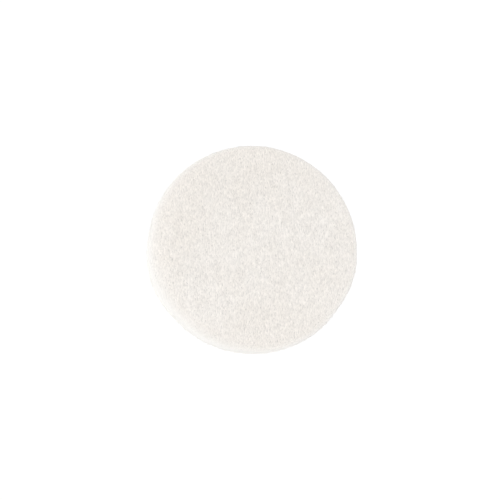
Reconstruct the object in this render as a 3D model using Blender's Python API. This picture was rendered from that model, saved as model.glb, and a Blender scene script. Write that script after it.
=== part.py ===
"""Felt polishing wheel that screws onto the end of a lapidary arbor.

A thick pressed-felt disc is bonded to a ribbed plastic backing plate, and a flanged steel hub with
the arbor's thread is bolted to the plate's back. Each piece is turned about +Z with the felt's
working face on top. The wheel_axis empty then stands the wheel up, so that it spins about +Y and
the felt faces -Y. The origin is on the axis, halfway through the wheel's depth.
"""

import math

import bmesh
import bpy
from mathutils import Matrix, Vector

# Driving dimensions, in metres.
GAP = 0.0003

FELT_RADIUS = 0.0762
FELT_THICKNESS = 0.01905
FELT_FRONT_ROUND = 0.005
FELT_BACK_ROUND = 0.0035

BOND_RADIUS = 0.069
BOND_THICKNESS = 0.0008

PLATE_RADIUS = 0.070
PLATE_WEB = 0.005
PLATE_RIM_DEPTH = 0.008
PLATE_RIM_WIDTH = 0.004
PLATE_CHAMFER = 0.001
PLATE_DRAFT = 0.0006
BOSS_RADIUS = 0.030
BOSS_DEPTH = 0.012

RIB_COUNT = 8
RIB_THICKNESS = 0.003
RIB_OVERLAP = 0.002
RIB_SHORTFALL = 0.0006

SPIGOT_RADIUS = 0.0142
SPIGOT_LENGTH = 0.0022
FLANGE_RADIUS = 0.026
FLANGE_THICKNESS = 0.004
BARREL_RADIUS = 0.0135
BARREL_LENGTH = 0.020
BORE_RADIUS = 0.0072
BORE_LEAD_IN = 0.0012
HUB_CHAMFER = 0.0008
HUB_FILLET = 0.0015
SPANNER_SIZE = 0.024
SPANNER_LENGTH = 0.013

SCREW_COUNT = 4
SCREW_CIRCLE_RADIUS = 0.0198
SCREW_LENGTH = 0.012
SCREW_CORE_RADIUS = 0.0022
SCREW_TIP_CHAMFER = 0.0005
SCREW_HEAD_RADIUS = 0.0047
SCREW_HEAD_HEIGHT = 0.0028
SCREW_HEAD_EDGE = 0.0008
SOCKET_SIZE = 0.003
SOCKET_DEPTH = 0.0015
FLANGE_HOLE_RADIUS = 0.00275

WASHER_RADIUS = 0.005
WASHER_HOLE_RADIUS = 0.00265
WASHER_THICKNESS = 0.001
WASHER_CHAMFER = 0.0002

INSERT_RADIUS = 0.0036
INSERT_BORE_RADIUS = 0.0025
INSERT_LENGTH = 0.0065
INSERT_GROOVE_DEPTH = 0.0004
INSERT_GROOVE_LOW = 0.0023
INSERT_GROOVE_HIGH = 0.0039
INSERT_GROOVE_SLOPE = 0.0003
INSERT_POCKET_DEPTH = 0.0075

# How finely the round shapes are divided.
FELT_SEGMENTS = 80
PLATE_SEGMENTS = 80
HUB_SEGMENTS = 48
SMALL_SEGMENTS = 20
SHOULDER_STEPS = 5
FILLET_STEPS = 3
DOME_STEPS = 4
SHARP_ANGLE = math.radians(35)
CUT_THROUGH = 0.005
WELD = 1e-6

# Heights along the turning axis, from the felt's working face down to the end of the hub.
WHEEL_DEPTH = (
    FELT_THICKNESS + GAP + BOND_THICKNESS + GAP
    + BOSS_DEPTH + GAP + FLANGE_THICKNESS + BARREL_LENGTH
)
FACE_Z = WHEEL_DEPTH / 2
FELT_BACK_Z = FACE_Z - FELT_THICKNESS
BOND_BACK_Z = FELT_BACK_Z - GAP - BOND_THICKNESS
PLATE_FRONT_Z = BOND_BACK_Z - GAP
BOSS_BACK_Z = PLATE_FRONT_Z - BOSS_DEPTH
FLANGE_FRONT_Z = BOSS_BACK_Z - GAP
FLANGE_BACK_Z = FLANGE_FRONT_Z - FLANGE_THICKNESS
WASHER_BACK_Z = FLANGE_BACK_Z - GAP - WASHER_THICKNESS
SCREW_SEAT_Z = WASHER_BACK_Z - GAP


def clear_scene():
    for obj in list(bpy.data.objects):
        bpy.data.objects.remove(obj, do_unlink=True)


def principled(name, colour, roughness, metallic=0.0):
    """A material with one Principled shader."""
    material = bpy.data.materials.new(name)
    material.use_nodes = True
    material.diffuse_color = (*colour, 1.0)
    shader = material.node_tree.nodes["Principled BSDF"]
    shader.inputs["Base Color"].default_value = (*colour, 1.0)
    shader.inputs["Roughness"].default_value = roughness
    shader.inputs["Metallic"].default_value = metallic
    return material


def place(obj, parent, location=(0.0, 0.0, 0.0), rotation=(0.0, 0.0, 0.0)):
    bpy.context.scene.collection.objects.link(obj)
    obj.parent = parent
    obj.location = location
    obj.rotation_euler = rotation
    return obj


def mesh_object(name, bm, material=None):
    """A mesh object from bm, with faces outward and smooth between its sharp edges."""
    bmesh.ops.recalc_face_normals(bm, faces=bm.faces)
    mesh = bpy.data.meshes.new(name)
    bm.to_mesh(mesh)
    bm.free()
    mesh.shade_smooth()
    mesh.set_sharp_from_angle(angle=SHARP_ANGLE)
    if material:
        mesh.materials.append(material)
    return bpy.data.objects.new(name, mesh)


def arc(centre, radius, start, end, steps):
    """Points on an arc of a profile, from start to end in degrees, both ends included."""
    points = []
    for step in range(steps + 1):
        angle = math.radians(start + (end - start) * step / steps)
        points.append((centre[0] + radius * math.cos(angle), centre[1] + radius * math.sin(angle)))
    return points


def turned(name, profile, segments, material=None, ring=False):
    """A solid turned about Z from (radius, height) points that run down its outer side.

    A ring's profile is a closed loop around a hole. Any other profile starts and ends on the axis.
    """
    bm = bmesh.new()
    verts = [bm.verts.new((radius, 0.0, height)) for radius, height in profile]
    pairs = list(zip(verts, verts[1:]))
    if ring:
        pairs.append((verts[-1], verts[0]))
    edges = [bm.edges.new(pair) for pair in pairs]
    bmesh.ops.spin(
        bm,
        geom=verts + edges,
        cent=(0.0, 0.0, 0.0),
        axis=(0.0, 0.0, 1.0),
        angle=2 * math.pi,
        steps=segments,
        use_merge=True,
    )
    bmesh.ops.remove_doubles(bm, verts=bm.verts, dist=WELD)
    return mesh_object(name, bm, material)


def bolt_positions():
    """The screw centres, as (x, y) about the wheel's axis, on the diagonals between the flats."""
    positions = []
    for index in range(SCREW_COUNT):
        angle = 2 * math.pi * (index + 0.5) / SCREW_COUNT
        positions.append((SCREW_CIRCLE_RADIUS * math.cos(angle), SCREW_CIRCLE_RADIUS * math.sin(angle)))
    return positions


def as_helper(obj):
    """Marks a cutter or a shape that a Boolean joins, which isn't a piece itself."""
    obj.hide_render = True
    obj.display_type = "WIRE"
    return obj


def boolean(obj, helper, operation):
    modifier = obj.modifiers.new(helper.name, "BOOLEAN")
    modifier.operation = operation
    modifier.solver = "EXACT"
    modifier.object = as_helper(helper)


def bolt_holes(name, radius, low, high):
    """Four round cutters on the screw circle, between two heights."""
    bm = bmesh.new()
    for x, y in bolt_positions():
        bmesh.ops.create_cone(
            bm,
            cap_ends=True,
            segments=SMALL_SEGMENTS,
            radius1=radius,
            radius2=radius,
            depth=high - low,
            matrix=Matrix.Translation((x, y, (low + high) / 2)),
        )
    return mesh_object(name, bm)


def make_felt_disc(axis):
    """Pressed wool felt with rounded edges. Its origin is on its bonded back face."""
    front_corner = (FELT_RADIUS - FELT_FRONT_ROUND, FELT_THICKNESS - FELT_FRONT_ROUND)
    back_corner = (FELT_RADIUS - FELT_BACK_ROUND, FELT_BACK_ROUND)
    profile = [(0.0, FELT_THICKNESS)]
    profile += arc(front_corner, FELT_FRONT_ROUND, 90, 0, SHOULDER_STEPS)
    profile += arc(back_corner, FELT_BACK_ROUND, 0, -90, SHOULDER_STEPS)
    profile += [(0.0, 0.0)]
    felt = principled("wool_felt", (0.86, 0.83, 0.78), 0.95)
    place(turned("felt_disc", profile, FELT_SEGMENTS, felt), axis, (0.0, 0.0, FELT_BACK_Z))


def make_bond_layer(axis):
    """Film of contact cement between the felt and the plate."""
    profile = [
        (0.0, BOND_THICKNESS),
        (BOND_RADIUS, BOND_THICKNESS),
        (BOND_RADIUS, 0.0),
        (0.0, 0.0),
    ]
    cement = principled("contact_cement", (0.62, 0.47, 0.24), 0.5)
    place(turned("bond_layer", profile, PLATE_SEGMENTS, cement), axis, (0.0, 0.0, BOND_BACK_Z))


def rib_star():
    """The plate's radial ribs, as tapered blades from inside the boss to inside the rim."""
    inner = BOSS_RADIUS - RIB_OVERLAP
    outer = PLATE_RADIUS - PLATE_RIM_WIDTH + RIB_OVERLAP
    root = -PLATE_WEB + RIB_OVERLAP
    outline = [
        (inner, root),
        (outer, root),
        (outer, -PLATE_RIM_DEPTH + RIB_SHORTFALL),
        (inner, -BOSS_DEPTH + RIB_SHORTFALL),
    ]
    bm = bmesh.new()
    for index in range(RIB_COUNT):
        turn = Matrix.Rotation(2 * math.pi * index / RIB_COUNT, 4, "Z")
        corners = [turn @ Vector((radius, -RIB_THICKNESS / 2, height)) for radius, height in outline]
        side = bm.faces.new([bm.verts.new(corner) for corner in corners])
        extruded = bmesh.ops.extrude_face_region(bm, geom=[side])
        moved = [item for item in extruded["geom"] if isinstance(item, bmesh.types.BMVert)]
        across = turn.to_3x3().col[1] * RIB_THICKNESS
        bmesh.ops.translate(bm, verts=moved, vec=across)
    return mesh_object("rib_star", bm)


def make_backing_plate(axis):
    """Moulded plate: flat front, ribbed back, and a boss for the hub. Its origin is on its front."""
    rim_inner = PLATE_RADIUS - PLATE_RIM_WIDTH
    pocket_radius = SPIGOT_RADIUS + GAP
    pocket_floor = -BOSS_DEPTH + SPIGOT_LENGTH + GAP
    profile = [
        (0.0, 0.0),
        (PLATE_RADIUS - PLATE_CHAMFER, 0.0),
        (PLATE_RADIUS, -PLATE_CHAMFER),
        (PLATE_RADIUS, -PLATE_RIM_DEPTH + PLATE_CHAMFER),
        (PLATE_RADIUS - PLATE_CHAMFER, -PLATE_RIM_DEPTH),
        (rim_inner, -PLATE_RIM_DEPTH),
        (rim_inner - PLATE_DRAFT, -PLATE_WEB),
        (BOSS_RADIUS + PLATE_DRAFT, -PLATE_WEB),
        (BOSS_RADIUS, -BOSS_DEPTH + PLATE_CHAMFER),
        (BOSS_RADIUS - PLATE_CHAMFER, -BOSS_DEPTH),
        (pocket_radius, -BOSS_DEPTH),
        (pocket_radius, pocket_floor),
        (0.0, pocket_floor),
    ]
    nylon = principled("moulded_nylon", (0.035, 0.036, 0.040), 0.55)
    plate = place(
        turned("backing_plate", profile, PLATE_SEGMENTS, nylon), axis, (0.0, 0.0, PLATE_FRONT_Z)
    )
    ribs = place(rib_star(), plate)
    pockets = bolt_holes(
        "insert_pockets",
        INSERT_RADIUS + GAP,
        -BOSS_DEPTH - CUT_THROUGH,
        -BOSS_DEPTH + INSERT_POCKET_DEPTH,
    )
    boolean(plate, ribs, "UNION")
    boolean(plate, place(pockets, plate), "DIFFERENCE")


def spanner_cutters():
    """Two blocks that cut the flats on the hub's barrel, one to each side in X."""
    top = -FLANGE_THICKNESS - BARREL_LENGTH + SPANNER_LENGTH
    bottom = -FLANGE_THICKNESS - BARREL_LENGTH - CUT_THROUGH
    block = (BARREL_RADIUS, 4 * BARREL_RADIUS, top - bottom)
    bm = bmesh.new()
    for side in (-1, 1):
        centre = (side * (SPANNER_SIZE + block[0]) / 2, 0.0, (top + bottom) / 2)
        bmesh.ops.create_cube(
            bm, size=1.0, matrix=Matrix.Translation(centre) @ Matrix.Diagonal((*block, 1.0))
        )
    return mesh_object("spanner_flats", bm)


def make_threaded_hub(axis):
    """Turned steel hub: spigot, bolted flange and threaded barrel. Its origin is on its flange."""
    barrel_end = -FLANGE_THICKNESS - BARREL_LENGTH
    fillet_centre = (BARREL_RADIUS + HUB_FILLET, -FLANGE_THICKNESS - HUB_FILLET)
    profile = [
        (BORE_RADIUS, SPIGOT_LENGTH),
        (SPIGOT_RADIUS, SPIGOT_LENGTH),
        (SPIGOT_RADIUS, 0.0),
        (FLANGE_RADIUS, 0.0),
        (FLANGE_RADIUS, -FLANGE_THICKNESS + HUB_CHAMFER),
        (FLANGE_RADIUS - HUB_CHAMFER, -FLANGE_THICKNESS),
    ]
    profile += arc(fillet_centre, HUB_FILLET, 90, 180, FILLET_STEPS)
    profile += [
        (BARREL_RADIUS, barrel_end + HUB_CHAMFER),
        (BARREL_RADIUS - HUB_CHAMFER, barrel_end),
        (BORE_RADIUS + BORE_LEAD_IN, barrel_end),
        (BORE_RADIUS, barrel_end + BORE_LEAD_IN),
    ]
    steel = principled("zinc_plated_steel", (0.62, 0.62, 0.60), 0.32, 1.0)
    hub = place(
        turned("threaded_hub", profile, HUB_SEGMENTS, steel, ring=True), axis, (0.0, 0.0, FLANGE_FRONT_Z)
    )
    holes = bolt_holes(
        "flange_holes", FLANGE_HOLE_RADIUS, -FLANGE_THICKNESS - CUT_THROUGH, CUT_THROUGH
    )
    boolean(hub, place(holes, hub), "DIFFERENCE")
    boolean(hub, place(spanner_cutters(), hub), "DIFFERENCE")


def screw_profile():
    """Button head above the seat at height 0, and the shank at its core size below it."""
    rise = SCREW_HEAD_HEIGHT - SCREW_HEAD_EDGE
    dome_radius = (SCREW_HEAD_RADIUS**2 + rise**2) / (2 * rise)
    dome_centre = (0.0, SCREW_HEAD_HEIGHT - dome_radius)
    edge_angle = math.degrees(math.acos(SCREW_HEAD_RADIUS / dome_radius))
    profile = arc(dome_centre, dome_radius, 90, edge_angle, DOME_STEPS)
    profile += [
        (SCREW_HEAD_RADIUS, 0.0),
        (SCREW_CORE_RADIUS, 0.0),
        (SCREW_CORE_RADIUS, -SCREW_LENGTH + SCREW_TIP_CHAMFER),
        (SCREW_CORE_RADIUS - SCREW_TIP_CHAMFER, -SCREW_LENGTH),
        (0.0, -SCREW_LENGTH),
    ]
    return profile


def hex_socket(name):
    """Hexagonal cutter for the drive socket in a screw's head."""
    low = SCREW_HEAD_HEIGHT - SOCKET_DEPTH
    high = SCREW_HEAD_HEIGHT + CUT_THROUGH
    corner_radius = SOCKET_SIZE / 2 / math.cos(math.pi / 6)
    bm = bmesh.new()
    bmesh.ops.create_cone(
        bm,
        cap_ends=True,
        segments=6,
        radius1=corner_radius,
        radius2=corner_radius,
        depth=high - low,
        matrix=Matrix.Translation((0.0, 0.0, (low + high) / 2)),
    )
    return mesh_object(name, bm)


def make_hub_screws(axis):
    """Four button-head screws, heads to the back of the wheel."""
    steel = principled("stainless_steel", (0.55, 0.55, 0.56), 0.28, 1.0)
    for number, (x, y) in enumerate(bolt_positions(), start=1):
        screw = turned(f"hub_screw_{number}", screw_profile(), SMALL_SEGMENTS, steel)
        place(screw, axis, (x, y, SCREW_SEAT_Z), (math.pi, 0.0, 0.0))
        boolean(screw, place(hex_socket(f"socket_{number}"), screw), "DIFFERENCE")


def make_screw_washers(axis):
    """Plain washers under the screw heads, with their outer edges broken."""
    profile = [
        (WASHER_HOLE_RADIUS, WASHER_THICKNESS),
        (WASHER_RADIUS, WASHER_THICKNESS),
        (WASHER_RADIUS, WASHER_CHAMFER),
        (WASHER_RADIUS - WASHER_CHAMFER, 0.0),
        (WASHER_HOLE_RADIUS, 0.0),
    ]
    steel = principled("washer_steel", (0.58, 0.58, 0.58), 0.35, 1.0)
    for number, (x, y) in enumerate(bolt_positions(), start=1):
        washer = turned(f"screw_washer_{number}", profile, SMALL_SEGMENTS, steel, ring=True)
        place(washer, axis, (x, y, WASHER_BACK_Z))


def make_plate_inserts(axis):
    """Brass threaded inserts in the boss, flush with its face and waisted to hold in the plastic."""
    waist = INSERT_RADIUS - INSERT_GROOVE_DEPTH
    profile = [
        (INSERT_BORE_RADIUS, INSERT_LENGTH),
        (INSERT_RADIUS, INSERT_LENGTH),
        (INSERT_RADIUS, INSERT_GROOVE_HIGH),
        (waist, INSERT_GROOVE_HIGH - INSERT_GROOVE_SLOPE),
        (waist, INSERT_GROOVE_LOW + INSERT_GROOVE_SLOPE),
        (INSERT_RADIUS, INSERT_GROOVE_LOW),
        (INSERT_RADIUS, 0.0),
        (INSERT_BORE_RADIUS, 0.0),
    ]
    brass = principled("brass", (0.72, 0.53, 0.24), 0.35, 1.0)
    for number, (x, y) in enumerate(bolt_positions(), start=1):
        insert = turned(f"plate_insert_{number}", profile, SMALL_SEGMENTS, brass, ring=True)
        place(insert, axis, (x, y, BOSS_BACK_Z))


def main():
    clear_scene()
    axis = place(bpy.data.objects.new("wheel_axis", None), None, rotation=(math.pi / 2, 0.0, 0.0))
    make_felt_disc(axis)
    make_bond_layer(axis)
    make_backing_plate(axis)
    make_threaded_hub(axis)
    make_hub_screws(axis)
    make_screw_washers(axis)
    make_plate_inserts(axis)


main()
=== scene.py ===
"""Looks for the felt polishing wheel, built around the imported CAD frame.

The wheel spins about +Y. Its felt faces -Y, and the plate, hub and screws are behind it. The felt is
a soft solid of its own: the blank is remeshed, swelled by a short cloth simulation while its bonded
back is held, then carved with felt lumps and covered with loose wool fibres.
"""

import math

import bmesh
import bpy
import numpy as np
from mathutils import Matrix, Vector, noise


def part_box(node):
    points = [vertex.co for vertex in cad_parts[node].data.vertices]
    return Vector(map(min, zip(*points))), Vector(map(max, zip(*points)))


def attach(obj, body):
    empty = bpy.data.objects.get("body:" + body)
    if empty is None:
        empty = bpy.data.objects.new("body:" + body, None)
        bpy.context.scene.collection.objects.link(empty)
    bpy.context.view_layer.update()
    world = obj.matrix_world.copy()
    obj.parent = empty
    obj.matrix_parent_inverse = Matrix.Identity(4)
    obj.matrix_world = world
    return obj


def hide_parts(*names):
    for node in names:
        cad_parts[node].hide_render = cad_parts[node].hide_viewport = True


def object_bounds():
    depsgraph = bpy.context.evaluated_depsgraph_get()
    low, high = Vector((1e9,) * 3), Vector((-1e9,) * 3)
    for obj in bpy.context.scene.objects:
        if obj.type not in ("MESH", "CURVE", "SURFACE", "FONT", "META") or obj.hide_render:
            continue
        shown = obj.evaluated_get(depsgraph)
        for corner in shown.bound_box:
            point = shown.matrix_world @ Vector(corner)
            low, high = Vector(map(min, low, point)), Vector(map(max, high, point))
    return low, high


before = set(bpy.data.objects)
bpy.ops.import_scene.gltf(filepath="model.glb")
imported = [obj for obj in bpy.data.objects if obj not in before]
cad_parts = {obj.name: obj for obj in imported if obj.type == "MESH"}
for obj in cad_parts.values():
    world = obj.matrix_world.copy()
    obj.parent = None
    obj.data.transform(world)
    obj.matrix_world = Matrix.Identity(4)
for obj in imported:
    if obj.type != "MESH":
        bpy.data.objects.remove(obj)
cad_low, cad_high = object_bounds()

MM = 0.001
ROOT = "root"

felt_low, felt_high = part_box("felt_disc")
FELT_RADIUS = (felt_high.x - felt_low.x) / 2
FELT_FRONT_Y = felt_low.y
FELT_BACK_Y = felt_high.y

# The felt blank, and how it swells: the most that a point may move, and the depth that the cement holds.
FELT_SEGMENTS = 256
FELT_VOXEL = 1.5 * MM
FRONT_ROUND = 5.0 * MM
BACK_ROUND = 3.5 * MM
SIDE_ALLOWANCE = 0.3 * MM
SWELL = 1.0 * MM
SWELL_FRAMES = 16
BONDED_DEPTH = 2.0 * MM
CLOTH = {
    "quality": 5,
    "mass": 0.3,
    "tension_stiffness": 40,
    "compression_stiffness": 40,
    "shear_stiffness": 20,
    "bending_stiffness": 5,
    "use_pressure": True,
    "uniform_pressure_force": 4.0,
}

# Slow bulges and a flat of the cut edge, as (angle, width, height): angles run from +X to +Z, in degrees.
EDGE_BULGES = (
    (198.0, 18.0, 1.5 * MM),
    (348.0, 9.0, 0.6 * MM),
    (325.0, 9.0, -0.6 * MM),
)
EDGE_START = 0.6

# The front shoulder is worn down furthest around this angle, from this share of the radius outwards.
WORN_ANGLE = 212.0
WORN_WIDTH = 60.0
WORN_START = 0.76
WORN_DEPTH = 4.5 * MM

# Relief: slow lumps, small lumps and the nap of the face, as (height, cell size along x, y and z).
SLOW_LUMPS = (0.22 * MM, (32 * MM, 12 * MM, 28 * MM))
SMALL_LUMPS = (0.10 * MM, (9 * MM, 7 * MM, 8 * MM))
NAP_LUMPS = (0.12 * MM, (2.2 * MM, 2.2 * MM, 4.4 * MM))

# The nap is full to the first depth behind the face and has faded by the second. The side keeps these
# shares of its relief and of its colour.
NAP_DEPTH = (1.5 * MM, 5.5 * MM)
NAP_SIDE_SHARE = 0.15
TONE_SIDE_SHARE = 0.2

# Loose fibres. They lean mostly along z, with this spread along x and y. Each one starts a little way into
# an arch and follows it for most of its length, sunk slightly into the felt. None grow next to the cement.
FIBRE_COUNT = 7000
FIBRE_SEED = 11
FIBRE_STEPS = 3
FIBRE_SCATTER = 0.3 * MM
FIBRE_LEAN = (0.6, 0.3)
FIBRE_CURL = 0.5
FIBRE_LENGTH = (1.0 * MM, 3.2 * MM)
FIBRE_LIFT = (0.05 * MM, 0.45 * MM)
FIBRE_RADIUS = (0.035 * MM, 0.07 * MM)
FIBRE_TAPER = 0.75
FIBRE_ARCH_START = 0.15
FIBRE_ARCH_LENGTH = 0.75
FIBRE_SUNK = 0.05 * MM
FIBRE_BARE_DEPTH = 1.0 * MM

# Fibres are shorter on the shoulder, where the felt faces neither forwards nor sideways.
SHOULDER_FACING = 0.75
SHOULDER_RANGE = 0.23
SHOULDER_SHORTEST = 0.2

WOOL_WARM = (0.880, 0.824, 0.762, 1.0)
WOOL_LIGHT = (0.922, 0.892, 0.857, 1.0)
# Whiter, less warm felt for the side wall all round: partly the paler colour of ground felt and partly a
# painted highlight.
WOOL_GROUND_AND_HIGHLIGHT = (0.935, 0.918, 0.885, 1.0)
FIBRE_WARM = (0.86, 0.81, 0.74, 1.0)
FIBRE_LIGHT = (0.93, 0.91, 0.87, 1.0)
NYLON_DARK = (0.026, 0.027, 0.030, 1.0)
NYLON_LIGHT = (0.042, 0.043, 0.047, 1.0)
GLASS_FLECK = (0.11, 0.11, 0.115, 1.0)
FELT_DUST = (0.45, 0.43, 0.40, 1.0)
CEMENT_DARK = (0.46, 0.30, 0.12, 1.0)
CEMENT_LIGHT = (0.68, 0.52, 0.28, 1.0)
FLOOR_COLOUR = (0.90, 0.90, 0.90, 1.0)
BACKDROP_COLOUR = (1.0, 1.0, 1.0, 1.0)
TENT_COLOUR = (0.98, 0.99, 1.0, 1.0)

# Metals, as (dull colour, bright colour, roughness, lathe marks per metre, height of the marks).
STAINLESS_DULL = (0.50, 0.50, 0.51, 1.0)
STAINLESS_BRIGHT = (0.60, 0.60, 0.60, 1.0)
METALS = {
    "zinc_plated_steel": ((0.56, 0.57, 0.57, 1.0), (0.68, 0.68, 0.64, 1.0), 0.30, 2600.0, 0.03 * MM),
    "stainless_steel": (STAINLESS_DULL, STAINLESS_BRIGHT, 0.24, 3400.0, 0.015 * MM),
    "washer_steel": (STAINLESS_DULL, STAINLESS_BRIGHT, 0.36, 3400.0, 0.015 * MM),
    "brass": ((0.66, 0.46, 0.20, 1.0), (0.76, 0.58, 0.28, 1.0), 0.33, 2600.0, 0.02 * MM),
}

# Solids: the gap that the frame leaves between pieces, and how round shapes are divided. A flat disc has
# rings of points at these shares of its radius.
CLEARANCE = 0.3 * MM
SHARP_ANGLE = math.radians(38)
THREAD_FLAT = 0.14
HOLE_SEGMENTS = 40
DISC_SHARES = (0.3, 0.7)

# The cement's bead stands out by its bulge, give or take two sizes of wander, as (height, cell, seed).
BEAD_SEGMENTS = 360
BEAD_ROWS = 9
BEAD_BULGE = 0.7 * MM
BEAD_WANDER = (
    (0.45 * MM, 7 * MM, 5),
    (0.15 * MM, 2 * MM, 6),
)
BEAD_START = 0.97

# The moulded plate. Its rows of points cross the boss, the open web and the rim, with these margins to the
# walls between them. Its columns run beside the ribs and fan out between them, and are plain spokes inside
# the fan radius.
PLATE_WEB = 5.0 * MM
PLATE_RIM_DEPTH = 8.0 * MM
PLATE_RIM_WIDTH = 4.0 * MM
PLATE_EDGE_ROUND = 0.9 * MM
PLATE_FRONT_ROUND = 0.5 * MM
PLATE_EDGE_REACH = 1.5 * MM
BOSS_RADIUS = 30.0 * MM
INSERT_POCKET_DEPTH = 7.5 * MM
POCKET_OVERSHOOT = 1.0 * MM
RIB_COUNT = 8
RIB_HALF = 1.5 * MM
RIB_SHORTFALL = 0.6 * MM
WALL_LEAN = 0.25 * MM
WALL_TOP_ROUND = 0.45 * MM
WALL_ROOT_ROUND = 1.0 * MM
BOSS_ROWS = 8
WEB_ROWS = 26
RIM_ROWS = 4
BOSS_MARGIN = 1.5 * MM
WEB_MARGIN = 2.0 * MM
RIM_MARGIN = 1.0 * MM
FAN_COLUMNS = 12
FAN_RADIUS = 20.0 * MM
RIB_CREST_SHARE = 0.4

# The turned hub. Its CAD radii are read with these margins to the corners beside them.
HUB_SEGMENTS = 192
READ_MARGIN = 1.0 * MM
BARREL_MARGIN = 1.5 * MM
SPANNER_HALF = 12.0 * MM
SPANNER_LENGTH = 13.0 * MM
SPANNER_STEP = 0.02 * MM
HUB_PITCH = 25.4 / 11 * MM
HUB_THREAD_CREST = 6.9 * MM
HUB_THREAD_ROOT = 7.9 * MM
HUB_THREAD_STEP = 0.16 * MM
HUB_LEAD_IN = 1.2 * MM
FLANGE_HOLE = 2.75 * MM
FLANGE_OVERSHOOT = 3.0 * MM

# Screws and washers. Each screw stopped at its own angle, and its socket ends in a shallow drilled point.
WASHER_HOLE = 2.65 * MM
SCREW_SEGMENTS = 72
SCREW_TWIST = 0.4
SCREW_PITCH = 0.8 * MM
SCREW_THREAD_CREST = 2.42 * MM
SCREW_THREAD_ROOT = 2.02 * MM
SCREW_THREAD_STEP = 0.1 * MM
SCREW_RUNOUT = 0.5 * MM
SCREW_POINT = 0.3 * MM
SCREW_HEAD_EDGE = 0.8 * MM
SCREW_HEAD_RIM = 0.2 * MM
DOME_ROWS = 9
SOCKET_HALF = 1.5 * MM
SOCKET_DEPTH = 1.5 * MM
SOCKET_POINT_SHARE = 0.3
SOCKET_POINT_DEPTH = 0.35 * MM
SOCKET_BEVEL = 0.05 * MM
SOCKET_MOUTH = 0.08 * MM
SOCKET_MOUTH_DEPTH = 0.12 * MM

# Stage. The floor is far below the wheel, and fades to the backdrop's white with distance.
FLOOR_DROP = 0.95
FLOOR_SIZE = 24.0
FLOOR_FADE = (4.0, 10.0)
FLOOR_NEAR = 0.76
BACKDROP = 1.05

# The studio tent is bright in front of the wheel and dark behind it, and fades between these y values of
# the direction looked in.
TENT_FRONT = 1.1
TENT_BACK = 0.12
TENT_EDGE = (-0.06, 0.12)

# Round lights that face the wheel's centre, as (name, direction, distance, size, power).
LIGHTS = (
    ("key_left", (-1.0, -0.16, -0.10), 0.9, 0.7, 1.4),
    ("low", (-0.80, -0.24, -0.53), 0.9, 0.7, 1.8),
    ("low_right", (0.70, -0.28, -0.65), 0.9, 0.7, 2.4),
    ("rim_left", (-0.72, 0.40, -0.57), 0.9, 0.7, 0.8),
    ("top", (0.0, -0.10, 1.0), 0.9, 0.7, 1.0),
    ("back_left", (-0.55, 0.80, 0.35), 1.3, 0.9, 5.0),
    ("back_right", (0.35, 0.92, -0.20), 1.3, 0.7, 3.0),
)

# Camera: angles in degrees, the wheel's share of the picture's width, and how far it aims off the middle.
LENS = 135.0
SENSOR = 36.0
CAMERA_AZIMUTH = -5.5
CAMERA_ELEVATION = -8.5
WHEEL_SHARE = 0.419
AIM_OFFSET = (-2.0 * MM, 0.0, -0.6 * MM)
NEAREST_SEEN = 0.05
FARTHEST_SEEN = 50.0


# ---------------------------------------------------------------- mesh helpers


def object_from(name, data):
    """A new object in the scene, from a mesh, a light or a camera."""
    obj = bpy.data.objects.new(name, data)
    bpy.context.scene.collection.objects.link(obj)
    return obj


def apply_modifiers(obj):
    """Replaces the object's mesh by what its modifiers make of it."""
    graph = bpy.context.evaluated_depsgraph_get()
    mesh = bpy.data.meshes.new_from_object(obj.evaluated_get(graph), depsgraph=graph)
    obj.modifiers.clear()
    old = obj.data
    obj.data = mesh
    bpy.data.meshes.remove(old)
    return obj


def positions(mesh):
    co = np.empty(len(mesh.vertices) * 3, np.float32)
    mesh.vertices.foreach_get("co", co)
    return co.reshape(-1, 3).astype(float)


def set_positions(mesh, co):
    mesh.vertices.foreach_set("co", co.astype(np.float32).ravel())
    mesh.update()


def radii(node, low, high):
    """The least and greatest distance from the axis of a CAD node's points between two y values."""
    co = positions(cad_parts[node].data)
    co = co[(co[:, 1] >= low - 1e-6) & (co[:, 1] <= high + 1e-6)]
    reach = np.hypot(co[:, 0], co[:, 2])
    return float(reach.min()), float(reach.max())


def vertex_normals(mesh):
    out = np.empty(len(mesh.vertices) * 3, np.float32)
    mesh.vertex_normals.foreach_get("vector", out)
    return out.reshape(-1, 3).astype(float)


def noise_at(points, scale, seed):
    """Smooth noise from -1 to 1 at each point, with this cell size along x, y and z.

    Each seed reads another part of the same noise.
    """
    shift = Vector((17.3 * seed, -9.1 * seed, 5.7 * seed))
    sx, sy, sz = scale
    return np.array([noise.noise(Vector((x / sx, y / sy, z / sz)) + shift) for x, y, z in points])


def arc(centre, radius, start, end, steps):
    angles = np.radians(np.linspace(start, end, steps + 1))
    return [(centre[0] + radius * math.cos(a), centre[1] + radius * math.sin(a)) for a in angles]


def turned(name, profile, segments):
    """A solid turned about +Y from (radius, y) points that start and end on the axis."""
    bm = bmesh.new()
    verts = [bm.verts.new((r, y, 0.0)) for r, y in profile]
    edges = [bm.edges.new(pair) for pair in zip(verts, verts[1:])]
    bmesh.ops.spin(bm, geom=verts + edges, cent=(0, 0, 0), axis=(0, 1, 0),
                   angle=2 * math.pi, steps=segments, use_merge=True)
    bmesh.ops.remove_doubles(bm, verts=bm.verts, dist=1e-7)
    bmesh.ops.recalc_face_normals(bm, faces=bm.faces)
    mesh = bpy.data.meshes.new(name)
    bm.to_mesh(mesh)
    bm.free()
    return object_from(name, mesh)


# ---------------------------------------------------------------- material helpers


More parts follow.
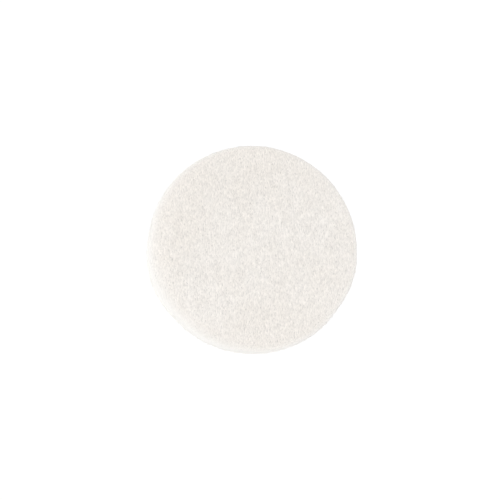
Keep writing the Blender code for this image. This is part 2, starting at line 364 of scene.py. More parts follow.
class Nodes:
    """A short way to write a node tree. An input is given a value, or a socket to link it to.

    An input goes by its name, with an underscore for a space in add, or by its place as a digit string.
    """

    def __init__(self, tree):
        self.tree = tree
        tree.nodes.clear()

    def add(self, kind, settings=None, **inputs):
        node = self.tree.nodes.new(kind)
        for key, value in (settings or {}).items():
            setattr(node, key, value)
        for key, value in inputs.items():
            self.feed(node, key.replace("_", " "), value)
        return node

    def feed(self, node, key, value):
        socket = node.inputs[int(key)] if key.isdigit() else node.inputs[key]
        if isinstance(value, bpy.types.NodeSocket):
            self.tree.links.new(value, socket)
        else:
            socket.default_value = value


def new_material(name):
    material = bpy.data.materials.new(name)
    material.use_nodes = True
    return material, Nodes(material.node_tree)


def principled(n, **inputs):
    """Ends a material's tree with a Principled BSDF that has these inputs."""
    shader = n.add("ShaderNodeBsdfPrincipled", **inputs)
    n.add("ShaderNodeOutputMaterial", Surface=shader.outputs["BSDF"])


def scaled_coords(n, scale=1.0):
    """Object coordinates times scale, which is per metre: one number, or one each along x, y and z."""
    per_axis = scale if isinstance(scale, tuple) else (scale, scale, scale)
    coords = n.add("ShaderNodeTexCoord").outputs["Object"]
    return n.add("ShaderNodeMapping", Scale=per_axis, Vector=coords).outputs["Vector"]


def noise_value(n, scale, detail=2.0, roughness=0.5, distortion=0.0):
    """Noise from 0 to 1, with scale cells per metre: one number, or one each along x, y and z."""
    tex = n.add("ShaderNodeTexNoise", Vector=scaled_coords(n, scale), Scale=1.0, Detail=detail,
                Roughness=roughness, Distortion=distortion)
    return tex.outputs["Fac"]


def remap(n, value, low, high, to_low, to_high):
    """A value from low to high, stretched to run from to_low to to_high, and held at the ends."""
    node = n.add("ShaderNodeMapRange", Value=value, From_Min=low, From_Max=high,
                 To_Min=to_low, To_Max=to_high)
    return node.outputs["Result"]


def math_node(n, operation, a, b=0.0):
    node = n.add("ShaderNodeMath", {"operation": operation})
    n.feed(node, "0", a)
    n.feed(node, "1", b)
    return node.outputs["Value"]


def mix_colour(n, factor, a, b, blend="MIX"):
    node = n.add("ShaderNodeMix", {"data_type": "RGBA", "blend_type": blend})
    n.feed(node, "0", factor)
    n.feed(node, "6", a)
    n.feed(node, "7", b)
    return node.outputs[2]


def mixed(n, factor, a, b):
    node = n.add("ShaderNodeMix", {"data_type": "FLOAT"})
    n.feed(node, "0", factor)
    n.feed(node, "2", a)
    n.feed(node, "3", b)
    return node.outputs[0]


def by_camera(n, lit, seen):
    """What lights the scene, and what the camera sees in its place."""
    node = n.add("ShaderNodeMixShader")
    n.feed(node, "0", n.add("ShaderNodeLightPath").outputs["Is Camera Ray"])
    n.feed(node, "1", lit)
    n.feed(node, "2", seen)
    return node.outputs["Shader"]


def face_share(n):
    """1 on the napped face, and a small share behind the shoulder, where the felt is ground smooth."""
    split = n.add("ShaderNodeSeparateXYZ", Vector=scaled_coords(n))
    near, far = (FELT_FRONT_Y + depth for depth in NAP_DEPTH)
    return remap(n, split.outputs["Y"], near, far, 1.0, TONE_SIDE_SHARE)


def felt_material():
    """Pressed wool: streaked, speckled nap on the face with painted shade in its pits, and smoother felt in
    pressed layers at the side, whose whiter colour is partly a painted highlight.
    """
    material, n = new_material("wool_felt")
    streaks = noise_value(n, (1250.0, 1250.0, 470.0), detail=2.0, roughness=0.6, distortion=0.3)
    specks = noise_value(n, (1500.0, 1500.0, 700.0), detail=1.0)
    blotches = noise_value(n, (60.0, 60.0, 48.0), detail=1.0)
    tone = noise_value(n, 14.0, detail=1.0)
    base = mix_colour(n, remap(n, tone, 0.35, 0.65, 0.38, 0.62), WOOL_WARM, WOOL_LIGHT)
    base = mix_colour(n, remap(n, blotches, 0.3, 0.7, 0.30, 0.0), base, WOOL_WARM)
    # The side takes the whiter colour of ground felt, which is partly a painted highlight.
    base = mix_colour(n, face_share(n), WOOL_GROUND_AND_HIGHLIGHT, base)
    shade = remap(n, streaks, 0.25, 0.75, 0.82, 1.14)
    # Painted shade: the specks darken the colour where they also sink the bump, as shade in the pits between
    # tufts.
    pit_shade = remap(n, specks, 0.25, 0.42, 0.80, 1.0)
    grain = math_node(n, "MULTIPLY", shade, pit_shade)
    strata = noise_value(n, (110.0, 1500.0, 110.0), detail=3.0, roughness=0.6)
    flecks = remap(n, specks, 0.25, 0.5, 0.93, 1.0)
    layers = math_node(n, "MULTIPLY", remap(n, strata, 0.3, 0.7, 0.90, 1.0), flecks)
    # This mix is the face's grain with its painted pit shade, and the side's pressed layers; it is not wear.
    worn = mixed(n, face_share(n), layers, grain)
    grey = n.add("ShaderNodeCombineColor", Red=worn, Green=worn, Blue=worn)
    colour = mix_colour(n, 1.0, base, grey.outputs["Color"], "MULTIPLY")
    nap = math_node(n, "ADD", streaks, math_node(n, "MULTIPLY", specks, 0.6))
    ground = math_node(n, "ADD", strata, math_node(n, "MULTIPLY", specks, 0.3))
    height = mixed(n, face_share(n), ground, nap)
    strength = mixed(n, face_share(n), 0.25, 0.5)
    bump = n.add("ShaderNodeBump", Strength=strength, Distance=0.25 * MM, Height=height)
    principled(n, Base_Color=colour, Roughness=0.95, Specular_IOR_Level=0.15, Sheen_Weight=0.12,
               Sheen_Roughness=0.45, Normal=bump.outputs["Normal"])
    return material


def fibre_material():
    """Single wool fibres, each a slightly different cream."""
    material, n = new_material("wool_fibre")
    colour = mix_colour(n, noise_value(n, 300.0, detail=1.0), FIBRE_WARM, FIBRE_LIGHT)
    principled(n, Base_Color=colour, Roughness=0.85, Specular_IOR_Level=0.15)
    return material


def axis_coords(n, scale):
    """Distance from the wheel's axis and y, times scale: marks that a lathe leaves follow these."""
    split = n.add("ShaderNodeSeparateXYZ", Vector=scaled_coords(n))
    radial = n.add("ShaderNodeCombineXYZ", X=split.outputs["X"], Y=split.outputs["Z"])
    length = n.add("ShaderNodeVectorMath", {"operation": "LENGTH"}, Vector=radial.outputs["Vector"])
    pair = n.add("ShaderNodeCombineXYZ", X=length.outputs["Value"], Y=split.outputs["Y"])
    return n.add("ShaderNodeVectorMath", {"operation": "SCALE"}, Vector=pair.outputs["Vector"],
                 Scale=scale).outputs["Vector"]


def metal_material(name):
    """Plated or turned metal: cloudy colour, uneven roughness, and fine lathe marks round the axis."""
    dull, bright, roughness, marks, relief = METALS[name]
    material, n = new_material(name)
    clouds = noise_value(n, 130.0, detail=4.0, roughness=0.6)
    smudges = noise_value(n, 420.0, detail=5.0, roughness=0.65)
    rings = n.add("ShaderNodeTexNoise", Vector=axis_coords(n, marks), Scale=1.0, Detail=2.0,
                  Roughness=0.6).outputs["Fac"]
    colour = mix_colour(n, remap(n, clouds, 0.35, 0.65, 0.0, 1.0), dull, bright)
    smeared = remap(n, smudges, 0.3, 0.7, -0.05, 0.08)
    uneven = math_node(n, "ADD", smeared, remap(n, rings, 0.3, 0.7, -0.04, 0.04))
    bump = n.add("ShaderNodeBump", Strength=0.22, Distance=relief, Height=rings)
    principled(n, Base_Color=colour, Metallic=1.0, Roughness=math_node(n, "ADD", uneven, roughness),
               Normal=bump.outputs["Normal"])
    return material


def nylon_material():
    """Black glass-filled nylon: a fine spark-eroded texture, faint flow clouds and a trace of felt dust."""
    material, n = new_material("moulded_nylon")
    flow = noise_value(n, 45.0, detail=3.0, distortion=0.8)
    grain = noise_value(n, 2600.0, detail=2.0, roughness=0.6)
    glass = noise_value(n, (900.0, 3000.0, 900.0), detail=1.0)
    dust = noise_value(n, 160.0, detail=6.0, roughness=0.7)
    colour = mix_colour(n, remap(n, flow, 0.35, 0.65, 0.0, 1.0), NYLON_DARK, NYLON_LIGHT)
    colour = mix_colour(n, remap(n, glass, 0.62, 0.80, 0.0, 0.35), colour, GLASS_FLECK)
    colour = mix_colour(n, remap(n, dust, 0.56, 0.85, 0.0, 0.16), colour, FELT_DUST)
    bump = n.add("ShaderNodeBump", Strength=0.5, Distance=0.04 * MM, Height=grain)
    principled(n, Base_Color=colour, Roughness=remap(n, flow, 0.3, 0.7, 0.42, 0.56), Specular_IOR_Level=0.45,
               Normal=bump.outputs["Normal"])
    return material


def cement_material():
    """Dried contact cement: amber, rubbery, a little cloudy."""
    material, n = new_material("contact_cement")
    clouds = noise_value(n, 350.0, detail=4.0, roughness=0.6)
    lumps = noise_value(n, 900.0, detail=2.0)
    colour = mix_colour(n, remap(n, clouds, 0.3, 0.7, 0.0, 1.0), CEMENT_DARK, CEMENT_LIGHT)
    bump = n.add("ShaderNodeBump", Strength=0.6, Distance=0.12 * MM, Height=lumps)
    principled(n, Base_Color=colour, Roughness=remap(n, lumps, 0.3, 0.7, 0.30, 0.50),
               Normal=bump.outputs["Normal"])
    return material


def floor_material():
    """A pale floor that fades to the white of the backdrop with distance."""
    material, n = new_material("pale_floor")
    span = n.add("ShaderNodeVectorMath", {"operation": "LENGTH"}, Vector=scaled_coords(n))
    tone = remap(n, span.outputs["Value"], *FLOOR_FADE, FLOOR_NEAR, BACKDROP)
    seen = n.add("ShaderNodeEmission", Strength=tone)
    lit = n.add("ShaderNodeBsdfDiffuse", Color=FLOOR_COLOUR)
    shown = by_camera(n, lit.outputs["BSDF"], seen.outputs["Emission"])
    n.add("ShaderNodeOutputMaterial", Surface=shown)
    return material


# ---------------------------------------------------------------- felt


def felt_blank():
    """The felt as cut, a little smaller than it ends up, closed all round."""
    radius = FELT_RADIUS - SIDE_ALLOWANCE
    front = FELT_FRONT_Y + SWELL
    back = FELT_BACK_Y
    profile = [(0.0, front)]
    profile += arc((radius - FRONT_ROUND, front + FRONT_ROUND), FRONT_ROUND, -90, 0, 8)
    profile += arc((radius - BACK_ROUND, back - BACK_ROUND), BACK_ROUND, 0, 90, 6)
    profile += [(0.0, back)]
    blank = turned("felt_disc_soft", profile, FELT_SEGMENTS)
    remesh = blank.modifiers.new("Remesh", "REMESH")
    remesh.mode = "VOXEL"
    remesh.voxel_size = FELT_VOXEL
    return apply_modifiers(blank)


def swell(obj):
    """Swells the blank by cloth pressure while its bonded back stays put, and caps how far it moves."""
    rest = positions(obj.data)
    bonded = obj.vertex_groups.new(name="bonded")
    held = np.nonzero(rest[:, 1] > FELT_BACK_Y - BONDED_DEPTH)[0]
    bonded.add([int(i) for i in held], 1.0, "REPLACE")
    cloth = obj.modifiers.new("Cloth", "CLOTH")
    for key, value in CLOTH.items():
        setattr(cloth.settings, key, value)
    cloth.settings.vertex_group_mass = "bonded"
    cloth.settings.effector_weights.gravity = 0.0
    cloth.collision_settings.use_collision = False
    cloth.point_cache.frame_start = 1
    cloth.point_cache.frame_end = SWELL_FRAMES
    scene = bpy.context.scene
    for number in range(1, SWELL_FRAMES + 1):
        scene.frame_set(number)
    apply_modifiers(obj)
    moved = positions(obj.data) - rest
    length = np.linalg.norm(moved, axis=1, keepdims=True)
    capped = moved * np.minimum(1.0, SWELL / np.maximum(length, 1e-9))
    set_positions(obj.data, rest + capped)
    scene.frame_set(1)


def subdivide(obj):
    sub = obj.modifiers.new("Subdivision", "SUBSURF")
    sub.levels = 1
    apply_modifiers(obj)


def around(angles, centre, width):
    """A smooth bump round the rim: 1 at the centre angle, about a third at one width and 0.02 at two."""
    away = (angles - centre + 180.0) % 360.0 - 180.0
    return np.exp(-((away / width) ** 2))


def past(radius, start):
    """0 out to this share of the felt's radius, rising to 1 at its rim."""
    return np.clip((radius / FELT_RADIUS - start) / (1.0 - start), 0.0, 1.0)


def carve(obj):
    """An edge that isn't quite round, a worn shoulder, felt lumps and an upright nap, as real relief."""
    mesh = obj.data
    co = positions(mesh)
    normal = vertex_normals(mesh)
    radius = np.hypot(co[:, 0], co[:, 2])
    angle = np.degrees(np.arctan2(co[:, 2], co[:, 0])) % 360.0
    outward = np.stack([co[:, 0], np.zeros(len(co)), co[:, 2]], axis=1)
    outward /= np.maximum(radius, 1e-6)[:, None]
    bulge = sum(height * around(angle, centre, width) for centre, width, height in EDGE_BULGES)
    slow, small, nap = (
        height * noise_at(co, cell, seed)
        for seed, (height, cell) in enumerate((SLOW_LUMPS, SMALL_LUMPS, NAP_LUMPS), start=1)
    )
    depth = co[:, 1] - FELT_FRONT_Y
    nap *= np.clip((NAP_DEPTH[1] - depth) / (NAP_DEPTH[1] - NAP_DEPTH[0]), NAP_SIDE_SHARE, 1.0)
    free = np.clip((FELT_BACK_Y - co[:, 1]) / BONDED_DEPTH, 0.0, 1.0)
    worn = past(radius, WORN_START) ** 2
    forward = np.clip((FELT_BACK_Y - co[:, 1]) / (FELT_BACK_Y - FELT_FRONT_Y), 0.0, 1.0)
    co[:, 1] += WORN_DEPTH * worn * forward * around(angle, WORN_ANGLE, WORN_WIDTH)
    co += outward * (bulge * past(radius, EDGE_START) ** 2)[:, None]
    co += normal * ((slow + small + nap) * free)[:, None]
    set_positions(mesh, co)


def fibres(name, surface):
    """Loose wool fibres as thin three-sided tubes that lie on the surface and curl off it."""
    rng = np.random.default_rng(FIBRE_SEED)
    count = FIBRE_COUNT
    steps = FIBRE_STEPS
    co = positions(surface.data)
    normal = vertex_normals(surface.data)
    furry = np.nonzero(co[:, 1] < FELT_BACK_Y - FIBRE_BARE_DEPTH)[0]
    picked = rng.choice(furry, count)
    start = co[picked] + rng.normal(0.0, FIBRE_SCATTER, (count, 3))
    up = normal[picked]
    lean_x = rng.normal(0, FIBRE_LEAN[0], count)
    lean_y = rng.normal(0, FIBRE_LEAN[1], count)
    lean = np.stack([lean_x, lean_y, rng.choice([-1.0, 1.0], count)], 1)
    along = lean - up * np.sum(lean * up, axis=1, keepdims=True)
    along /= np.maximum(np.linalg.norm(along, axis=1, keepdims=True), 1e-6)
    side = np.cross(up, along)
    facing = np.maximum(np.abs(up[:, 1]), np.hypot(up[:, 0], up[:, 2]))
    growth = np.clip((facing - SHOULDER_FACING) / SHOULDER_RANGE, SHOULDER_SHORTEST, 1.0)
    span = rng.uniform(*FIBRE_LENGTH, count) * growth
    curl = rng.normal(0.0, FIBRE_CURL, count)
    rise = rng.uniform(*FIBRE_LIFT, count)
    thick = rng.uniform(*FIBRE_RADIUS, count)

    rings = steps + 1
    verts = np.empty((count, rings, 3, 3))
    for step in range(rings):
        t = step / steps
        forward = span * t
        sideways = span * curl * t * t
        height = rise * math.sin(math.pi * (FIBRE_ARCH_START + FIBRE_ARCH_LENGTH * t)) - FIBRE_SUNK
        spine = start + along * forward[:, None] + side * sideways[:, None] + up * height[:, None]
        taper = 1.0 - FIBRE_TAPER * step / steps
        for corner in range(3):
            a = 2 * math.pi * corner / 3
            offset = side * math.cos(a) + up * math.sin(a)
            verts[:, step, corner] = spine + offset * (thick * taper)[:, None]

    sides = []
    for step in range(steps):
        for corner in range(3):
            here = step * 3 + corner
            beside = step * 3 + (corner + 1) % 3
            sides.append([here, beside, beside + 3, here + 3])
    ends = [[2, 1, 0], [steps * 3, steps * 3 + 1, steps * 3 + 2]]
    first = (np.arange(count) * rings * 3)[:, None, None]
    quads = (np.array(sides)[None] + first).reshape(-1, 4)
    caps = (np.array(ends)[None] + first).reshape(-1, 3)
    mesh = bpy.data.meshes.new(name)
    mesh.from_pydata(verts.reshape(-1, 3), [], quads.tolist() + caps.tolist())
    mesh.shade_smooth()
    return object_from(name, mesh)


def build_felt():
    """The felt and its loose fibres."""
    felt = felt_blank()
    swell(felt)
    subdivide(felt)
    carve(felt)
    felt.data.shade_smooth()
    finish_piece(felt, felt_material(), "felt", "felt_disc")
    finish_piece(fibres("felt_nap", felt), fibre_material(), "felt")


# ---------------------------------------------------------------- solids on a grid of points round an axis


def rounded(corners, steps=5):
    """An outline through (radius, y, corner radius) corners, each of them turned into an arc."""
    outline = []
    last = len(corners) - 1
    for index, (radius, y, round_) in enumerate(corners):
        corner = Vector((radius, y))
        if round_ == 0.0 or index in (0, last):
            outline.append(tuple(corner))
            continue
        before = (Vector(corners[index - 1][:2]) - corner).normalized()
        after = (Vector(corners[index + 1][:2]) - corner).normalized()
        half = before.angle(after) / 2
        centre = corner + (before + after).normalized() * (round_ / math.sin(half))
        start = corner + before * (round_ / math.tan(half)) - centre
        end = corner + after * (round_ / math.tan(half)) - centre
        sweep = start.angle(end)
        for step in range(steps + 1):
            t = step / steps
            spoke = (start * math.sin((1 - t) * sweep) + end * math.sin(t * sweep)) / math.sin(sweep)
            outline.append(tuple(centre + spoke))
    return outline


def circle_row(angles, radius, y, centre=(0.0, 0.0)):
    """Points round a centre in x and z. The radius and y are numbers, or one value for each angle."""
    x = centre[0] + radius * np.cos(angles)
    z = centre[1] + radius * np.sin(angles)
    return np.stack([x, np.broadcast_to(y, x.shape), z], axis=1)


def grid_solid(name, rows, ring=False):
    """A closed solid from rows of points. A ring joins its last row to its first, and others are capped."""
    count = len(rows[0])
    verts = np.concatenate(rows)
    here = np.arange(count)
    beside = (here + 1) % count
    pairs = [(i, i + 1) for i in range(len(rows) - 1)]
    if ring:
        pairs.append((len(rows) - 1, 0))
    quads = [np.stack([a * count + here, a * count + beside, b * count + beside, b * count + here], 1)
             for a, b in pairs]
    faces = np.concatenate(quads).tolist()
    if not ring:
        for row in (0, len(rows) - 1):
            pole = len(verts)
            verts = np.vstack([verts, rows[row].mean(axis=0)])
            faces += [[row * count + a, row * count + b, pole] for a, b in zip(here, beside)]
    mesh = bpy.data.meshes.new(name)
    mesh.from_pydata(verts, [], faces)
    bm = bmesh.new()
    bm.from_mesh(mesh)
    bmesh.ops.recalc_face_normals(bm, faces=bm.faces)
    bm.to_mesh(mesh)
    bm.free()
    mesh.shade_smooth()
    mesh.set_sharp_from_angle(angle=SHARP_ANGLE)
    return object_from(name, mesh)


def drill(obj, holes):
    """Cuts round holes along y, each given as (x, z, radius, low y, high y)."""
    angles = np.linspace(0.0, 2 * math.pi, HOLE_SEGMENTS, endpoint=False)
    cutters = []
    for number, (x, z, radius, low, high) in enumerate(holes):
        rows = [circle_row(angles, radius, low, (x, z)), circle_row(angles, radius, high, (x, z))]
        cutter = grid_solid(f"drill_{number}", rows)
        cut = obj.modifiers.new(cutter.name, "BOOLEAN")
        cut.operation = "DIFFERENCE"
        cut.solver = "EXACT"
        cut.object = cutter
        cutters.append(cutter)
    bpy.context.view_layer.update()
    apply_modifiers(obj)
    for cutter in cutters:
        bpy.data.objects.remove(cutter)
    return obj


def thread_radius(angles, y, crest, root, pitch):
    """Right-hand thread: the radius at each angle and y, from the crest radius to the root radius."""
    turn = (y / pitch + angles / (2 * math.pi)) % 1.0
    slope = np.clip((np.abs(turn - 0.5) * 2 - THREAD_FLAT) / (1 - 2 * THREAD_FLAT), 0.0, 1.0)
    return crest + (root - crest) * slope


def finish_piece(piece, material, slot, *nodes):
    """Gives a new piece its material and its body, and hides the CAD nodes that it stands for."""
    piece.data.materials.clear()
    piece.data.materials.append(material)
    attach(piece, ROOT)
    if nodes:
        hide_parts(*nodes)


# ---------------------------------------------------------------- plate, hub and fastenings


def screw_numbers():
    return range(1, 1 + sum(name.startswith("hub_screw_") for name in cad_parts))


def centre_of(node):
    low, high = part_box(node)
    return (low.x + high.x) / 2, (low.z + high.z) / 2


def build_bond_layer():
    """Cement that fills the joint between felt and plate, with a squeezed-out bead that wanders a little."""
    front = FELT_BACK_Y
    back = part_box("backing_plate")[0].y
    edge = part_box("bond_layer")[1].x
    angles = np.linspace(0.0, 2 * math.pi, BEAD_SEGMENTS, endpoint=False)
    around_rim = circle_row(angles, edge, 0.0)
    wander = sum(
        height * noise_at(around_rim, (cell, cell, cell), seed)
        for height, cell, seed in BEAD_WANDER
    )
    shares = (*DISC_SHARES, BEAD_START)
    rows = [circle_row(angles, edge * share, front) for share in shares]
    for angle in np.radians(np.linspace(-90.0, 90.0, BEAD_ROWS)):
        lean = math.cos(angle)
        y = (front + back) / 2 + (back - front) / 2 * math.sin(angle)
        rows.append(circle_row(angles, edge + (BEAD_BULGE + wander) * lean, y))
    rows += [circle_row(angles, edge * share, back) for share in reversed(shares)]
    finish_piece(grid_solid("cement_joint", rows), cement_material(), "cement", "bond_layer")


def wall(outside, height):
    """Height of a drafted wall with rounded top and root, at a distance outside its base."""
    inside = -outside - WALL_LEAN
    fillet = WALL_ROOT_ROUND - np.clip(outside, 0.0, WALL_ROOT_ROUND)
    root = WALL_ROOT_ROUND - np.sqrt(WALL_ROOT_ROUND**2 - fillet**2)
    climb = np.clip(-outside / WALL_LEAN, 0, 1)
    face = WALL_ROOT_ROUND + (height - WALL_TOP_ROUND - WALL_ROOT_ROUND) * climb
    crown = WALL_TOP_ROUND - np.clip(inside, 0.0, WALL_TOP_ROUND)
    top = height - WALL_TOP_ROUND + np.sqrt(WALL_TOP_ROUND**2 - crown**2)
    return np.where(outside > 0.0, root, np.where(inside < 0.0, face, top))


def wall_offsets():
    """Distances outside a wall's base at which its shape needs points, from outside to inside."""
    root = WALL_ROOT_ROUND * (1 - np.sin(np.radians(np.linspace(0, 90, 6))))
    top = -WALL_LEAN - WALL_TOP_ROUND * (1 - np.cos(np.radians(np.linspace(0, 90, 5))))
    return np.concatenate([root, top])


def plate_columns(radius):
    """Angles of the plate's columns at a radius: parallel to each rib beside it, and fanned between ribs."""
    lateral = np.sort(np.concatenate([[0.0, RIB_CREST_SHARE * RIB_HALF], RIB_HALF + wall_offsets()]))
    near = np.arcsin(lateral / max(radius, FAN_RADIUS))
    half_sector = math.pi / RIB_COUNT
    fan = near[-1] + (half_sector - near[-1]) * np.arange(1, FAN_COLUMNS + 1) / FAN_COLUMNS
    half = np.concatenate([near, fan])
    sector = np.concatenate([-half[:0:-1], half[:-1]])
    return np.concatenate([sector + 2 * half_sector * index for index in range(RIB_COUNT)])


def build_backing_plate():
    """Moulded plate: drafted rim, boss and ribs with filleted roots, over a flat bonded front."""
    low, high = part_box("backing_plate")
    hub_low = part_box("threaded_hub")[0]
    radius, front, boss_back = high.x, low.y, high.y
    web_back = front + PLATE_WEB
    rim_back = front + PLATE_RIM_DEPTH
    rim_inner = radius - PLATE_RIM_WIDTH
    pocket_radius = radii("threaded_hub", hub_low.y, hub_low.y + CLEARANCE)[1] + CLEARANCE
    pocket_floor = hub_low.y - CLEARANCE

    stations = np.sort(np.concatenate([
        np.linspace(pocket_radius + CLEARANCE, BOSS_RADIUS - BOSS_MARGIN, BOSS_ROWS),
        BOSS_RADIUS + wall_offsets(),
        np.linspace(BOSS_RADIUS + WEB_MARGIN, rim_inner - WEB_MARGIN, WEB_ROWS),
        rim_inner - wall_offsets(),
        np.linspace(rim_inner + RIM_MARGIN, radius - PLATE_EDGE_ROUND, RIM_ROWS),
    ]))
    rows = [circle_row(plate_columns(share * pocket_radius), share * pocket_radius, pocket_floor)
            for share in (*DISC_SHARES, 1.0)]
    for station in stations:
        columns = plate_columns(station)
        along = (station - BOSS_RADIUS) / (rim_inner - BOSS_RADIUS)
        rib_height = (boss_back - web_back) * (1 - along) + (rim_back - web_back) * along - RIB_SHORTFALL
        turn = 2 * math.pi / RIB_COUNT
        across = np.abs(station * np.sin((columns + turn / 2) % turn - turn / 2))
        height = wall(across - RIB_HALF, rib_height)
        height = np.maximum(height, wall(station - BOSS_RADIUS, boss_back - web_back))
        height = np.maximum(height, wall(rim_inner - station, rim_back - web_back))
        rows.append(circle_row(columns, station, web_back + height))
    columns = plate_columns(radius)
    edge = rounded([
        (radius - PLATE_EDGE_REACH, rim_back, 0),
        (radius, rim_back, PLATE_EDGE_ROUND),
        (radius, front, PLATE_FRONT_ROUND),
        (radius - PLATE_EDGE_REACH, front, 0),
    ])
    rows += [circle_row(columns, r, y) for r, y in edge[1:]]
    rows += [circle_row(columns, share * radius, front) for share in reversed(DISC_SHARES)]
    plate = grid_solid("moulded_plate", rows)
    pockets = []
    for number in screw_numbers():
        insert_low, insert_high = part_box(f"plate_insert_{number}")
        x, z = centre_of(f"plate_insert_{number}")
        pocket = (insert_high.x - insert_low.x) / 2 + CLEARANCE
        pockets.append((x, z, pocket, boss_back - INSERT_POCKET_DEPTH, boss_back + POCKET_OVERSHOOT))
    finish_piece(drill(plate, pockets), nylon_material(), "plate", "backing_plate")


def build_hub():
    """Turned hub: spigot, bolted flange, barrel with two milled flats, and a real internal thread."""
    low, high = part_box("threaded_hub")
    spigot_front, end = low.y, high.y
    flange_radius = high.x
    washer_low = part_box("screw_washer_1")[0]
    flange_back = washer_low.y - CLEARANCE
    flange_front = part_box("backing_plate")[1].y + CLEARANCE
    spigot_radius = radii("threaded_hub", spigot_front, flange_front - READ_MARGIN)[1]
    barrel_radius = radii("threaded_hub", flange_back + BARREL_MARGIN, end - READ_MARGIN)[1]
    mouth_radius = HUB_THREAD_ROOT + HUB_LEAD_IN / 2
    flats_start = end - SPANNER_LENGTH

    edge = math.acos(SPANNER_HALF / barrel_radius)
    angles = np.linspace(0.0, 2 * math.pi, HUB_SEGMENTS, endpoint=False)
    for target in (edge, math.pi - edge, math.pi + edge, 2 * math.pi - edge):
        angles[np.argmin(np.abs(angles - target))] = target
    outline = rounded([
        (HUB_THREAD_ROOT, spigot_front, 0),
        (spigot_radius, spigot_front, 0.5 * MM),
        (spigot_radius, flange_front, 0.2 * MM),
        (flange_radius, flange_front, 0.3 * MM),
        (flange_radius, flange_back, 0.9 * MM),
        (barrel_radius, flange_back, 1.8 * MM),
        (barrel_radius, flats_start - SPANNER_STEP, 0),
        (barrel_radius, flats_start, 0),
        (barrel_radius, end, 0.8 * MM),
        (mouth_radius, end, 0),
    ], steps=6)
    rows = []
    for r, y in outline:
        row = circle_row(angles, r, y)
        if y >= flats_start - 1e-7:
            row[:, 0] = np.clip(row[:, 0], -SPANNER_HALF, SPANNER_HALF)
        rows.append(row)
    for y in np.arange(end - HUB_THREAD_STEP, spigot_front, -HUB_THREAD_STEP):
        cut = thread_radius(angles, y, HUB_THREAD_CREST, HUB_THREAD_ROOT, HUB_PITCH)
        lead_in = mouth_radius - min(end - y, y - spigot_front)
        rows.append(circle_row(angles, np.maximum(cut, lead_in), y))
    hub = grid_solid("turned_hub", rows, ring=True)
    holes = []
    for number in screw_numbers():
        x, z = centre_of(f"screw_washer_{number}")
        holes.append((x, z, FLANGE_HOLE, flange_front - FLANGE_OVERSHOOT, flange_back + FLANGE_OVERSHOOT))
    finish_piece(drill(hub, holes), metal_material("zinc_plated_steel"), "hub", "threaded_hub")


def build_washer(number, material):
    """Plain washer, seated on the flange, with its outer edge rounded."""
    node = f"screw_washer_{number}"
    low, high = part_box(node)
    outer = (high.x - low.x) / 2
    seat = low.y - CLEARANCE
    top = seat + (high.y - low.y)
    angles = np.linspace(0.0, 2 * math.pi, SCREW_SEGMENTS, endpoint=False)
    outline = rounded([
        (WASHER_HOLE, seat, 0),
        (outer, seat, 0.1 * MM),
        (outer, top, 0.3 * MM),
        (WASHER_HOLE, top, 0),
    ])
    rows = [circle_row(angles, r, y, centre_of(node)) for r, y in outline]
    finish_piece(grid_solid(f"washer_{number}", rows, ring=True), material, "washer", node)


def build_screw(number, material):
    """Button-head screw with a hexagon socket, turned a little differently each time, and a cut thread."""
    node = f"hub_screw_{number}"
    low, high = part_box(node)
    centre = centre_of(node)
    head_radius = (high.x - low.x) / 2
    washer_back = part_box(f"screw_washer_{number}")[1].y
    seat = washer_back - CLEARANCE
    head_height = high.y - washer_back - CLEARANCE
    top = seat + head_height
    tip = low.y

    angles = np.linspace(0.0, 2 * math.pi, SCREW_SEGMENTS, endpoint=False)
    spun = angles + SCREW_TWIST * number
    sixth = math.pi / 3
    hexagon = SOCKET_HALF / np.cos((angles + sixth / 2) % sixth - sixth / 2)
    mouth = SOCKET_HALF / math.cos(sixth / 2) + SOCKET_MOUTH
    floor = top - SOCKET_DEPTH
    rim = head_radius - SCREW_HEAD_RIM
    rise = head_height - SCREW_HEAD_EDGE
    dome = (head_radius**2 + rise**2) / (2 * rise)

    def dome_y(radius):
        return top - dome + math.sqrt(dome**2 - radius**2)

    rows = [
        circle_row(spun, SOCKET_POINT_SHARE * SOCKET_HALF, floor - SOCKET_POINT_DEPTH, centre),
        circle_row(spun, hexagon - SOCKET_BEVEL, floor, centre),
        circle_row(spun, hexagon, floor + SOCKET_BEVEL, centre),
        circle_row(spun, hexagon, dome_y(mouth) - SOCKET_MOUTH_DEPTH, centre),
    ]
    rows += [circle_row(spun, r, dome_y(r), centre) for r in np.linspace(mouth, rim, DOME_ROWS)]
    edge = rounded([
        (rim, dome_y(rim), 0),
        (head_radius, dome_y(head_radius) - 0.1 * MM, 0.12 * MM),
        (head_radius, seat, 0.15 * MM),
        (SCREW_THREAD_CREST, seat, 0),
    ])
    rows += [circle_row(spun, r, y, centre) for r, y in edge[1:]]
    for y in np.arange(seat - SCREW_RUNOUT, tip + SCREW_POINT, -SCREW_THREAD_STEP):
        cut = thread_radius(spun, y, SCREW_THREAD_CREST, SCREW_THREAD_ROOT, SCREW_PITCH)
        rows.append(circle_row(spun, np.minimum(cut, SCREW_THREAD_ROOT + (y - tip)), y, centre))
    rows.append(circle_row(spun, SCREW_THREAD_ROOT - SCREW_POINT, tip, centre))
    finish_piece(grid_solid(f"button_screw_{number}", rows), material, "screw", node)


def build_fastenings():
    """Washers and screws, and brass on the CAD inserts, whose shape is right as it is."""
    screw_steel = metal_material("stainless_steel")
    washer_steel = metal_material("washer_steel")
    brass = metal_material("brass")
    for number in screw_numbers():
        build_washer(number, washer_steel)
        build_screw(number, screw_steel)
        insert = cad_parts[f"plate_insert_{number}"]
        insert.data.materials.clear()
        insert.data.materials.append(brass)


# ---------------------------------------------------------------- stage, light and camera


def build_floor():
    """A plain pale floor, which isn't part of the wheel."""
    bpy.ops.mesh.primitive_plane_add(size=FLOOR_SIZE, location=(0.0, 0.0, cad_low.z - FLOOR_DROP))
    floor = bpy.context.object
    floor.name = "floor"
    floor.data.materials.append(floor_material())


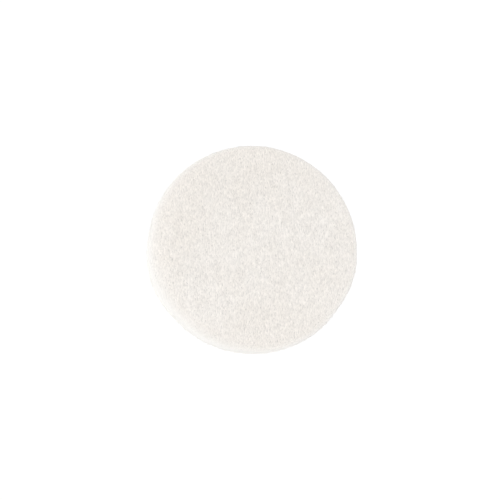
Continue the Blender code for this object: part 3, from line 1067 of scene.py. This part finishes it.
def build_world():
    """The tent's light on the wheel, and the plain white backdrop that the camera sees in its place."""
    world = bpy.data.worlds.new("studio")
    bpy.context.scene.world = world
    world.use_nodes = True
    n = Nodes(world.node_tree)
    seen = n.add("ShaderNodeBackground", Color=BACKDROP_COLOUR, Strength=BACKDROP)
    direction = n.add("ShaderNodeTexCoord").outputs["Generated"]
    depth = n.add("ShaderNodeSeparateXYZ", Vector=direction).outputs["Y"]
    strength = remap(n, depth, *TENT_EDGE, TENT_FRONT, TENT_BACK)
    tent = n.add("ShaderNodeBackground", Color=TENT_COLOUR, Strength=strength)
    shown = by_camera(n, tent.outputs["Background"], seen.outputs["Background"])
    n.add("ShaderNodeOutputWorld", Surface=shown)


def build_lights():
    """Soft lights, each at its distance from the wheel's centre along its direction."""
    for name, direction, distance, size, power in LIGHTS:
        data = bpy.data.lights.new(name, "AREA")
        data.shape = "DISK"
        data.size = size
        data.energy = power
        away = Vector(direction).normalized()
        lamp = object_from(name, data)
        lamp.location = away * distance
        lamp.rotation_euler = (-away).to_track_quat("-Z", "Y").to_euler()


def build_camera():
    """Looks at the felt from far enough away for it to fill its share of the picture's width."""
    data = bpy.data.cameras.new("camera")
    data.lens = LENS
    data.sensor_width = SENSOR
    camera = object_from("camera", data)
    azimuth, elevation = math.radians(CAMERA_AZIMUTH), math.radians(CAMERA_ELEVATION)
    back = Vector((
        math.sin(azimuth) * math.cos(elevation),
        -math.cos(azimuth) * math.cos(elevation),
        math.sin(elevation),
    ))
    distance = 2 * FELT_RADIUS / WHEEL_SHARE * LENS / SENSOR
    target = (felt_low + felt_high) / 2 + Vector(AIM_OFFSET)
    camera.location = target + back * distance
    camera.rotation_euler = (-back).to_track_quat("-Z", "Y").to_euler()
    data.clip_start = NEAREST_SEEN
    data.clip_end = FARTHEST_SEEN
    bpy.context.scene.camera = camera


build_felt()
build_bond_layer()
build_backing_plate()
build_hub()
build_fastenings()
build_floor()
build_world()
build_lights()
build_camera()
bpy.context.scene.view_settings.view_transform = "Standard"
